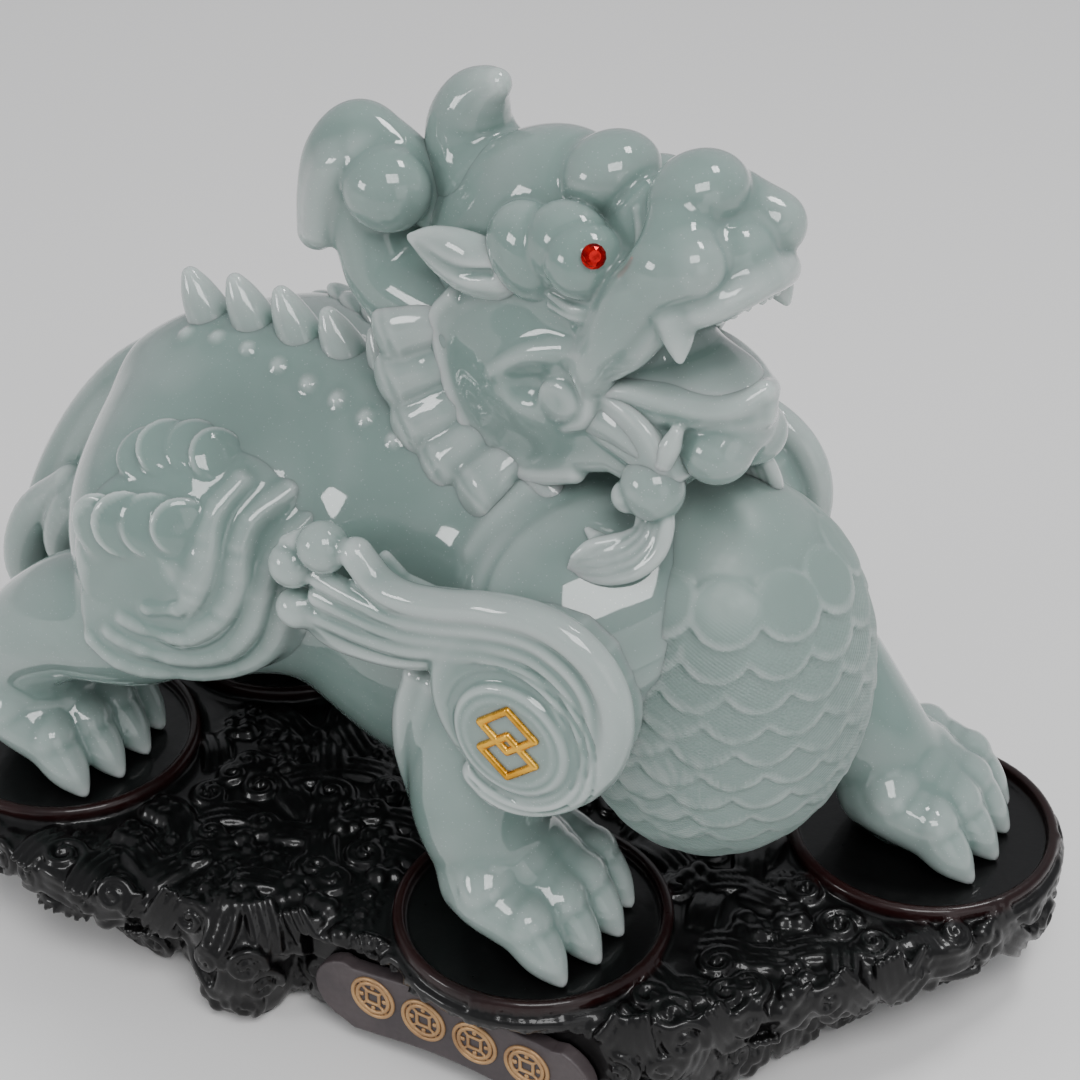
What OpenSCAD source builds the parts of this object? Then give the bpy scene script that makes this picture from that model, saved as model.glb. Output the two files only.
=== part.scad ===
// Foo dog (pixiu) statue: a cast jade-resin figure that stands loose on a carved black stand.
// Millimetres, +Z up. The beast looks along +X and its right flank, with the name plaque, faces -Y.
// The origin is on the table, under the middle of the stand.

/* [Stand] */
// Height of the paw dishes' floor above the table
floor_z = 33; // [28:0.5:38]
// Radius of each round paw dish, at the outside of its lip
dish_r = 31; // [30:0.5:33]
// Depth of the paw dishes below their lip
dish_depth = 2.5; // [1:0.5:3]
// Width of the lip round each dish
lip_w = 3; // [2:0.5:4]
// Thickness of the felt pads under the stand
pad_t = 1.5; // [1:0.5:3]
// Radius of the felt pads
pad_r = 8; // [5:0.5:9]

/* [Plaque] */
// Length of the name plaque
plaque_len = 70; // [60:1:76]
// Height of the name plaque
plaque_h = 21; // [16:1:22]
// Thickness of the name plaque
plaque_t = 4; // [3:0.5:5]
// Rise of the plaque's wavy outline at its middle
plaque_wave = 3; // [0:0.5:4]

/* [Figure] */
// Gap left between the paws' soles and the dish floor
sole_gap = 0.1; // [0.05:0.05:0.3]
// Heading of the head, negative towards the plaque side
head_yaw = -15; // [-20:1:-10]
// Upward tilt of the head
head_pitch = 27; // [22:1:30]
// Diameter of the faceted eye crystals
gem_d = 4; // [3:0.5:5]
// Outer radius of the scroll on each shoulder
scroll_r = 21.5; // [20:0.5:23]
// Height of the gold emblem on each scroll
emblem_h = 18.5; // [14:0.5:19]

/* [Hidden] */

jade = [0.60, 0.70, 0.66];
pale_jade = [0.68, 0.75, 0.72];
black_lacquer = [0.05, 0.04, 0.04];
plaque_brown = [0.16, 0.13, 0.13];
gold = [0.83, 0.62, 0.22];
ruby = [0.75, 0.03, 0.04];
felt = [0.12, 0.12, 0.13];

sole_z = floor_z + sole_gap;
head_pos = [30, 0, 178];
fine = 24;
coarse = 18;
small = 12;

// Dish centres: front right, front left, rear right, rear left.
dish_fr = [34, -30];
dish_fl = [96, 39];
dish_rr = [-92, -31];
dish_rl = [-72, 32];
dishes = [dish_fr, dish_fl, dish_rr, dish_rl];
// The striding front left paw stands a little behind and outside its dish's centre.
paw_fl = [94, 41];

// ---------- shared shapes ----------

// Ellipsoid with centre c and half-sizes r.
module blob(c, r, fn = coarse) {
    translate(c) scale(r) sphere(r = 1, $fn = fn);
}

// Tapering tube through balls b = [[x, y, z, radius], ...].
module limb(b, fn = coarse) {
    for (i = [0 : len(b) - 2])
        hull() {
            blob([b[i][0], b[i][1], b[i][2]], b[i][3] * [1, 1, 1], fn);
            blob([b[i + 1][0], b[i + 1][1], b[i + 1][2]], b[i + 1][3] * [1, 1, 1], fn);
        }
}

// Children on the right side, or mirrored on the left.
module side(left) {
    if (left) mirror([0, 1, 0]) children();
    else children();
}

// Children in the head's own frame: x forward, y to the left, z up.
module in_head() {
    translate(head_pos) rotate([0, -head_pitch, head_yaw]) children();
}

// Everything below the paws' soles.
module below_soles() {
    translate([0, 0, sole_z - 50]) cube([400, 400, 100], center = true);
}

// ---------- stand ----------

boss_h = 9;
deck_t = 12;
core_drop = 14;
// Feet: x, y, radius under the deck, radius at the table end.
feet = [
    [-84, -40, 18, 14], [-27, -54, 15, 12], [66, -34, 15, 12],
    [98, 32, 22, 15], [20, 38, 17, 13], [-72, 34, 20, 14]
];

// One paw dish: a round boss with a lip, before its pocket is cut.
module dish_boss(p) {
    translate([p[0], p[1], floor_z - boss_h]) cylinder(r = dish_r, h = boss_h + dish_depth, $fn = 72);
}

module dish_pocket(p) {
    translate([p[0], p[1], floor_z]) cylinder(r = dish_r - lip_w, h = 20, $fn = 72);
}

// Root-like foot that flares out below the deck, and ends on its felt pad.
module root_foot(f) {
    translate([f[0], f[1], pad_t]) cylinder(r1 = f[3], r2 = f[2], h = floor_z - 8 - pad_t, $fn = 40);
}

module stand() color(black_lacquer) difference() {
    union() {
        for (p = dishes) dish_boss(p);
        translate([0, 0, floor_z - deck_t]) linear_extrude(deck_t) polygon([
            [-112, -54], [-88, -66], [-62, -70], [-38, -64], [-10, -55], [62, -51], [92, -24],
            [122, 20], [112, 64], [70, 64], [10, 58], [-40, 62], [-92, 56], [-117, 20]
        ]);
        translate([0, 0, pad_t + 3]) linear_extrude(floor_z - core_drop) polygon([
            [-92, -48], [-50, -56], [-12, -50], [66, -50], [86, -18], [104, 24], [96, 50],
            [20, 46], [-60, 48], [-96, 30]
        ]);
        for (f = feet) root_foot(f);
    }
    for (p = dishes) dish_pocket(p);
}

module felt_pads() color(felt)
    for (f = feet) translate([f[0], f[1], 0]) cylinder(r = pad_r, h = pad_t, $fn = 48);

plaque_x = 28;
plaque_face_y = -56;
plaque_z = 15.5;
// Where the plaque's wavy edge turns into its round ends, as a part of its half length.
end_at = 0.72;

// Wavy outline with round ends, centred on the plaque.
function wave(x, half) = plaque_wave * (cos(180 * x / half) + 1) / 2;
module plaque_outline() {
    half = plaque_len / 2;
    top = [for (i = [-8 : 8]) let (x = i * half * end_at / 8)
        [x, plaque_h / 2 - plaque_wave + wave(x, half)]];
    low = [for (i = [8 : -1 : -8]) let (x = i * half * end_at / 8)
        [x, -plaque_h / 2 + wave(x, half)]];
    right_end = [for (a = [75 : -15 : -75])
        [half * (end_at + (1 - end_at) * cos(a)), (plaque_h - plaque_wave) / 2 * sin(a)]];
    left_end = [for (a = [255 : -15 : 105])
        [half * ((1 - end_at) * cos(a) - end_at), (plaque_h - plaque_wave) / 2 * sin(a)]];
    polygon(concat(top, right_end, low, left_end));
}

module plaque() color(plaque_brown)
    translate([plaque_x, plaque_face_y + plaque_t, plaque_z]) rotate([90, 0, 0])
        linear_extrude(plaque_t) plaque_outline();

coin_r = 5.2;
coin_pitch = 13;
coin_hole = 3.2;

// Four gold coin marks, each a disc with a square hole, along the plaque's curve.
module plaque_emblem() color(gold)
    for (i = [-1.5 : 1 : 1.5])
        translate([plaque_x + i * coin_pitch, plaque_face_y, plaque_z + plaque_wave / 2 - i * 0.4])
            rotate([90, 0, 0]) difference() {
                cylinder(r = coin_r, h = 0.6, $fn = 48);
                cube([coin_hole, coin_hole, 4], center = true);
            }

// ---------- body ----------

module torso() color(jade) {
    rump = [-58, 0, 98];
    loin = [-20, 0, 102];
    breast = [26, 0, 98];
    rump_r = [36, 35, 42];
    loin_r = [34, 30, 36];
    breast_r = [36, 31, 42];
    hull() {
        blob(rump, rump_r, fine);
        blob(loin, loin_r, fine);
    }
    hull() {
        blob(loin, loin_r, fine);
        blob(breast, breast_r, fine);
    }
    // belly, ridge of the back, neck, base of the throat
    blob([-4, -1, 92], [40, 31, 47], fine);
    limb([[-76, 0, 122, 9], [-60, 0, 132, 9], [-40, 0, 135, 9], [-20, 0, 132, 9.5], [-6, 0, 126, 9]], small);
    limb([[13, 0, 108, 23], [18, 0, 126, 16], [20, 0, 143, 11], [22, 0, 160, 8]]);
    blob([46, -1, 113], [27, 27, 25]);
    // shoulders and thighs
    for (s = [-1, 1]) {
        blob([37, s * 21, 102], [24, 25, 25]);
        blob([-53, s * 23, 101], [30, 29.5, 33]);
    }
}

// The bulging breast, covered with overlapping scales.
module chest_scales() color(pale_jade)
    hull() {
        blob([62, -1, 96], [33, 32, 46], fine);
        blob([46, 0, 100], [20, 28, 38], coarse);
    }

toe_pitch = 9.3;
toe_r = 6;

// Paw: a pad and four knuckled toes ending in claws, on the dish floor at p.
module paw(p, turn = 0) translate([p[0], p[1], sole_z]) rotate([0, 0, turn]) {
    hull() {
        blob([-4, 0, 10], [11.5, 13, 11], small);
        blob([2, 0, 10], [10, 14, 8], small);
    }
    for (t = [-1.5 : 1 : 1.5]) {
        x = 11 - abs(t) * 1.6;
        y = t * toe_pitch;
        limb([[-1, y, 14, toe_r], [x, y * 1.01, 10, toe_r], [x + 8, y * 1.04, 2.2, 2.2]], small);
    }
}

module leg(bones, p, turn = 0) difference() {
    union() {
        limb(bones);
        paw(p, turn);
    }
    below_soles();
}

module leg_front_right() color(jade)
    leg([[34, -19, 104, 20], [25, -29, 84, 17], [22, -33, 64, 14.5], [27, -31, 47, 13], [31, -30, 43, 12.5]],
        dish_fr);
module leg_front_left() color(jade)
    leg([[42, 19, 102, 19], [64, 30, 82, 16], [81, 35, 60, 13.5], [88, 39, 48, 12.5], [92, 40, 44, 12]],
        paw_fl, 8);
module leg_rear_right() color(jade)
    leg([
        [-52, -27, 104, 24], [-62, -35, 84, 19], [-80, -38, 73, 17], [-91, -37, 61, 15], [-94, -33, 49, 13.5]
    ], dish_rr);
module leg_rear_left() color(jade)
    leg([[-50, 27, 104, 24], [-50, 35, 84, 19], [-66, 37, 72, 16], [-74, 35, 58, 13.5], [-76, 33, 48, 12.5]],
        dish_rl);

// Four ribs that sweep down the haunch in an S, and turn back under it.
module haunch_flame(left) side(left)
    for (i = [0 : 3])
        limb([
            [-35 + i * 5, -38 + i * 2, 126 - i * 5.3, 3],
            [-37 + i * 4.3, -45 + i * 2.4, 113 - i * 5.7, 3.8],
            [-41 + i * 2.3, -49 + i * 1.4, 101.5 - i * 6.8, 3.8],
            [-48 - i * 5.3, -51 + i, 99.5 - i * 4.5, 3]
        ], small);
module haunch_flame_right() color(pale_jade) haunch_flame(false);
module haunch_flame_left() color(pale_jade) haunch_flame(true);

// Row of six blunt spikes down the arched spine, leaning back.
module spine_crest() color(pale_jade)
    for (i = [0 : 5]) {
        x = -66.5 + i * 12;
        z = 132 + 2 * sin(40 * i + 12);
        limb([
            [x + 4, 0, z, 5.6], [x + 2, 0, z + 7, 5.4], [x - 1, 0, z + 13, 4], [x - 3, 0, z + 17.2, 2.1]
        ], small);
    }

// Tail laid down the rump, curling under at its end.
module tail() color(jade)
    limb([
        [-76, 2, 126, 9], [-95, 3, 107, 10], [-108, 2, 88, 11], [-116, 0, 68, 11],
        [-113, -5, 54, 9], [-103, -9, 50, 7], [-97, -9, 57, 5.5]
    ], 14);

// ---------- shoulder scrolls ----------

scroll_c = [40.5, -40, 103];
// The raised disc that carries the emblem sits low in the scroll.
disc_c = [39.6, -40, 97.4];
disc_rise = 9.6;
bands = 5;

// Scroll on the shoulder, with a ribbed ribbon that flies back to three round knobs.
module wing_scroll(left) side(left) {
    translate(scroll_c) rotate([90, 0, 0]) cylinder(r = scroll_r, h = 7.7, $fn = 48);
    translate(disc_c) rotate([90, 0, 0]) cylinder(r = scroll_r * 0.62, h = disc_rise, $fn = 48);
    limb([for (a = [95 : -20 : -105])
        [scroll_c[0] + scroll_r * cos(a), scroll_c[1] - 5, scroll_c[2] + scroll_r * sin(a), 3.6]], small);
    for (i = [0 : bands - 1])
        limb([
            [-5, -41, 121.5 - i * 5.2, 3.2], [12, -42, 119 - i * 3.8, 3.2],
            [33, -44.5, 125 - i * 3, 3.2], [46, -44.5, 124 - i * 3.6, 3]
        ], small);
    blob([-8.5, -42, 123.6], [5.6, 5.3, 5.6], small);
    blob([-16.5, -42, 116.6], [5.2, 5, 5.2], small);
    blob([-16, -42, 105.6], [4.6, 4.4, 4.6], small);
    limb([
        [-8.5, -41, 123.6, 2.4], [-16.5, -41, 116.6, 2.4], [-16, -41, 105.6, 2.4], [-5, -41, 105, 2.4]
    ], small);
}
module wing_scroll_right() color(pale_jade) wing_scroll(false);
module wing_scroll_left() color(pale_jade) wing_scroll(true);

// Open lozenge, w and h from its middle to its corners.
module lozenge(w, h, open = 0.68) difference() {
    polygon([[-w, 0], [0, h], [w, 0], [0, -h]]);
    scale(open) polygon([[-w, 0], [0, h], [w, 0], [0, -h]]);
}

// Gold ornament: two open lozenges, interlocked one over the other, on the disc's face.
module emblem(left) side(left)
    translate([disc_c[0], disc_c[1] - disc_rise, disc_c[2]]) rotate([90, 0, 0]) linear_extrude(0.8) {
        w = emblem_h * 0.4;
        h = emblem_h * 0.33;
        for (s = [-1, 1]) translate([0, s * (emblem_h / 2 - h)]) lozenge(w, h);
    }
module emblem_right() color(gold) emblem(false);
module emblem_left() color(gold) emblem(true);

// ---------- head, in its own frame ----------

module head() color(jade) in_head() {
    blob([-14, 0, 6], [26, 20, 24], fine);
    blob([15, 0, 17], [11, 10, 9]);
    hull() {
        blob([6, 0, 6], [15, 17, 14]);
        blob([34, 0, 2], [9, 12, 8], small);
    }
    blob([38, 0, 12.5], [10, 9, 8]);
    for (s = [-1, 1]) {
        blob([-14, s * 13, -17], [20, 8, 20]);
        blob([17, s * 15, 7.5], [8, 8, 8], small);
        blob([4, s * 16.5, 14], [8, 7, 7.5], small);
        limb([[7, s * 18, -18, 4.5], [16, s * 16, -9, 6], [28, s * 13, -1, 6.5], [40, s * 10, 1, 6]], small);
        blob([38, s * 10, 9], [4.5, 4, 4], small);
        limb([[35.6, s * 13.6, -6, 3.8], [34.8, s * 15.1, -14.6, 1]], small);
    }
}

module lower_jaw() color(jade) in_head() {
    hull() {
        blob([-6, 0, -26], [14, 17, 10], small);
        blob([16, 0, -30], [12, 14, 6], small);
    }
    hull() {
        blob([16, 0, -30], [12, 14, 6], small);
        blob([34, 0, -27], [5, 5, 3.5], small);
    }
    for (s = [-1, 1])
        limb([[4, s * 17, -22, 4.5], [14, s * 15, -28, 4.5], [16, s * 14, -36, 6]], small);
    blob([22, 0, -36], [7, 8, 6], small);
}

module tongue() color(pale_jade) in_head()
    hull() {
        blob([4, 0, -17], [10, 8, 3], small);
        blob([24, 0, -20.5], [8, 6, 2.5], small);
    }

module horn() color(jade) in_head()
    limb([[-13, 0, 12, 15], [-21, 0, 24, 11], [-21.8, 0, 32, 9.2], [-18, 0, 37, 7.4], [-9, 0, 40.4, 3.2]]);

module ear(left) side(left)
    hull() {
        blob([-6, -17, 8], [6, 3.5, 6], small);
        blob([-12, -20, 11], [6, 3, 6.5], small);
        blob([-22, -22.4, 17.6], [1.5, 1.5, 1.5], small);
    }
module ear_right() color(pale_jade) in_head() ear(false);
module ear_left() color(pale_jade) in_head() ear(true);

// Thick lock that sweeps back from the skull, climbs past a ball and hooks over at its top.
module mane_curl() color(pale_jade) {
    limb([
        [8, 0, 160, 14], [-6, 0, 162, 12], [-16, 0, 166, 10.4], [-20.5, 0, 176, 9], [-22, 0, 188, 9.5],
        [-28, -1, 188, 7], [-32, -2, 180, 5.6], [-33, -3, 172, 4.4]
    ], 16);
    blob([-13.5, -5, 188], [9.4, 8.8, 9], 16);
}

// Scalloped frill of five petals behind each cheek, flaring out towards its tips.
module mane_fan(left) side(left) {
    root = [-26, -15, -15];
    tips = [
        [-42, -20.6, -1.5], [-46, -21.2, -11.5], [-45.4, -22, -22], [-39.4, -22.8, -30.8], [-29.6, -23.2, -37]
    ];
    for (tip = tips)
        hull() {
            blob(root, [6, 4, 6], small);
            blob(tip, [6.3, 3.4, 6.3], small);
        }
}
module mane_fan_right() color(pale_jade) in_head() mane_fan(false);
module mane_fan_left() color(pale_jade) in_head() mane_fan(true);

// Ball curl under the jaw, with a strand that hangs and sweeps out and back over the shoulder.
module beard(left) side(left) {
    blob([13.6, -13.8, -40.6], [6.8, 6.2, 6.8], small);
    limb([
        [12.6, -14, -44, 5], [11, -15.6, -49, 5], [6, -20.6, -52, 4.6], [2, -24, -51.8, 3.6],
        [-2.4, -26.6, -51, 1.6]
    ], small);
}
module beard_right() color(pale_jade) in_head() beard(false);
module beard_left() color(pale_jade) in_head() beard(true);

// Round faceted crystal set in the front of the eyeball.
module eye_gem(left) side(left)
    translate([22.9, -17.6, 7.8]) rotate([0, 90, -27]) {
        cylinder(d1 = gem_d * 0.4, d2 = gem_d, h = gem_d * 0.35, $fn = 12);
        translate([0, 0, gem_d * 0.35]) cylinder(d1 = gem_d, d2 = gem_d * 0.55, h = gem_d * 0.2, $fn = 12);
    }
module eye_gem_right() color(ruby) in_head() eye_gem(false);
module eye_gem_left() color(ruby) in_head() eye_gem(true);

stand();
plaque();
plaque_emblem();
felt_pads();
torso();
chest_scales();
leg_front_right();
leg_front_left();
leg_rear_right();
leg_rear_left();
haunch_flame_right();
haunch_flame_left();
spine_crest();
tail();
wing_scroll_right();
wing_scroll_left();
emblem_right();
emblem_left();
head();
lower_jaw();
tongue();
horn();
ear_right();
ear_left();
mane_curl();
mane_fan_right();
mane_fan_left();
beard_right();
beard_left();
eye_gem_right();
eye_gem_left();
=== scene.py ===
"""Foo dog (pixiu) statue: the looks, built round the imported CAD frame.

Each piece is modelled like clay: solid shapes are pressed together in a signed distance field, detail is
raised or carved in it, and its surface becomes the mesh. Sizes are in millimetres until a mesh is made.
"""

from math import cos, hypot, pi, radians, sin, sqrt

import bpy
import numpy as np
import openvdb
from mathutils import Matrix, Vector


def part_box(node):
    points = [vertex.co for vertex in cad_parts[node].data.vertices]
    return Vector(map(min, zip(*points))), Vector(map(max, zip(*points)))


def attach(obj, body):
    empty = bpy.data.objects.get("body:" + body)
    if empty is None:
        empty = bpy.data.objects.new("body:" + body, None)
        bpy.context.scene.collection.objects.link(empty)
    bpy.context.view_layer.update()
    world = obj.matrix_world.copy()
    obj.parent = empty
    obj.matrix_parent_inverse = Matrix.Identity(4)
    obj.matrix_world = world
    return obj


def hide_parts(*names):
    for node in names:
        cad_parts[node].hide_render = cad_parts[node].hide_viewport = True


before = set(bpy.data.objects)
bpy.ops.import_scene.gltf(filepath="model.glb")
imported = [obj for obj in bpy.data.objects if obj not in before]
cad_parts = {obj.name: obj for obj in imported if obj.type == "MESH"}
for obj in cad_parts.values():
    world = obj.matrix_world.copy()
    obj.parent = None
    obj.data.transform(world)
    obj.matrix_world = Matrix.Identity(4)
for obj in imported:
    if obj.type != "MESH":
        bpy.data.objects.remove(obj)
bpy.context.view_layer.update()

MM = 0.001
FAR = 24.0  # distances further than this from a surface are not kept
FINE = 1.0  # grid coarseness

FIGURE = "figure"
STAND = "stand"


# -------- clay

def vec(*v):
    return np.array(v, np.float64)


def unit(v):
    v = np.asarray(v, np.float64)
    return v / np.linalg.norm(v)


def axes_from(forward, up=(0, 0, 1)):
    """3x3 matrix whose columns are forward, side and up, made square."""
    f = unit(forward)
    side = np.cross(up, f)
    side = unit(side) if np.linalg.norm(side) > 1e-6 else vec(0, 1, 0)
    return np.column_stack([f, side, np.cross(f, side)])


def along(axis, dx, dy, dz):
    """Distance along an axis, leaving out the parts that are zero, so that flat arrays stay small."""
    return sum(a * d for a, d in zip(axis, (dx, dy, dz)) if abs(a) > 1e-9)


def blob(centre, radii, turn=None):
    """Ellipsoid. turn's columns are its own axes."""
    c = np.asarray(centre, np.float64)
    r = np.broadcast_to(np.asarray(radii, np.float64), 3)
    m = np.eye(3) if turn is None else np.asarray(turn)
    half = np.sqrt(((m * r) ** 2).sum(1))

    def distance(x, y, z):
        near = far = 0.0
        for i in range(3):
            w = along(m[:, i], x - c[0], y - c[1], z - c[2]) / r[i]
            near = near + w * w
            far = far + (w / r[i]) ** 2
        near = np.sqrt(near)
        return near * (near - 1) / np.maximum(np.sqrt(far), 1e-4)

    return c - half, c + half, distance


def segment(a, ra, b, rb, flat=None):
    """Round cone between two balls. flat is (direction, ratio), which thins it along that direction."""
    a, b = np.asarray(a, np.float64), np.asarray(b, np.float64)
    ab = b - a
    length2 = max(ab @ ab, 1e-9)
    big = max(ra, rb)

    def distance(x, y, z):
        dx, dy, dz = x - a[0], y - a[1], z - a[2]
        t = np.clip((dx * ab[0] + dy * ab[1] + dz * ab[2]) / length2, 0, 1)
        dx, dy, dz = dx - t * ab[0], dy - t * ab[1], dz - t * ab[2]
        far = dx * dx + dy * dy + dz * dz
        if flat is None:
            return np.sqrt(far) - (ra + t * (rb - ra))
        n, ratio = flat
        across = dx * n[0] + dy * n[1] + dz * n[2]
        thin = np.sqrt(far + across * across * (1 / ratio**2 - 1)) + 1e-6
        return (thin - (ra + t * (rb - ra))) * np.sqrt(far + 1e-6) / thin

    return np.minimum(a, b) - big, np.maximum(a, b) + big, distance


def curve(points, steps=6):
    """Smooth curve through points, which may carry radii or more: a Catmull-Rom spline."""
    p = np.asarray(points, np.float64)
    if len(p) < 3 or steps < 2:
        return p
    p = np.vstack([2 * p[0] - p[1], p, 2 * p[-1] - p[-2]])
    out = []
    for i in range(1, len(p) - 2):
        for t in np.arange(steps) / steps:
            out.append(0.5 * (
                2 * p[i] + (p[i + 1] - p[i - 1]) * t
                + (2 * p[i - 1] - 5 * p[i] + 4 * p[i + 1] - p[i + 2]) * t**2
                + (3 * p[i] - p[i - 1] - 3 * p[i + 1] + p[i + 2]) * t**3
            ))
    out.append(p[-2])
    return np.array(out)


def tube(points, steps=6, flat=None):
    """Round cones along a smooth curve through (x, y, z, radius) points."""
    c = curve(points, steps)
    return [segment(a[:3], max(a[3], 0.2), b[:3], max(b[3], 0.2), flat) for a, b in zip(c[:-1], c[1:])]


def slab(flat_distance, origin, axes, half, size, edge):
    """A flat shape with thickness 2 half and rounded edges. flat_distance(a, b) is its outline's distance."""
    o = np.asarray(origin, np.float64)
    m = np.asarray(axes, np.float64)
    reach = np.abs(m) @ vec(size, size, half)

    def distance(x, y, z):
        dx, dy, dz = x - o[0], y - o[1], z - o[2]
        flat = flat_distance(along(m[:, 0], dx, dy, dz), along(m[:, 1], dx, dy, dz)) + edge
        deep = np.abs(along(m[:, 2], dx, dy, dz)) - half + edge
        outside = np.sqrt(np.maximum(flat, 0) ** 2 + np.maximum(deep, 0) ** 2)
        return outside + np.minimum(np.maximum(flat, deep), 0) - edge

    return o - reach, o + reach, distance


def disc(origin, axes, radius, half, edge=0.6):
    return slab(lambda a, b: np.sqrt(a * a + b * b) - radius, origin, axes, half, radius, edge)


def prism(outline, origin, axes, half, edge=0.6):
    """Slab with a polygon for its outline."""
    p = np.asarray(outline, np.float64)

    def flat_distance(a, b):
        nearest, inside = 1e9, False
        for (ax, ay), (bx, by) in zip(p, np.roll(p, -1, 0)):
            ex, ey = bx - ax, by - ay
            t = np.clip(((a - ax) * ex + (b - ay) * ey) / (ex * ex + ey * ey + 1e-12), 0, 1)
            nearest = np.minimum(nearest, (a - ax - t * ex) ** 2 + (b - ay - t * ey) ** 2)
            if by != ay:
                crosses = ((ay > b) != (by > b)) & (a < ex * (b - ay) / ey + ax)
                inside = np.logical_xor(inside, crosses)
        return np.sqrt(nearest) * np.where(inside, -1, 1)

    return slab(flat_distance, origin, axes, half, np.abs(p).max() * 1.42, edge)


def spiral(centre, axes, radius, thick, turns, start, rise, shrink=0.82):
    """Points of a spiral that winds inwards and climbs."""
    a, b, n = np.asarray(axes).T
    out = []
    for t in np.linspace(0, 1, int(9 * turns) + 3):
        angle = start + 2 * pi * turns * t
        r = radius * (1 - shrink * t)
        at = np.asarray(centre) + r * (cos(angle) * a + sin(angle) * b) + rise * t * n
        out.append((*at, thick * (1 - 0.25 * t)))
    return out


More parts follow.
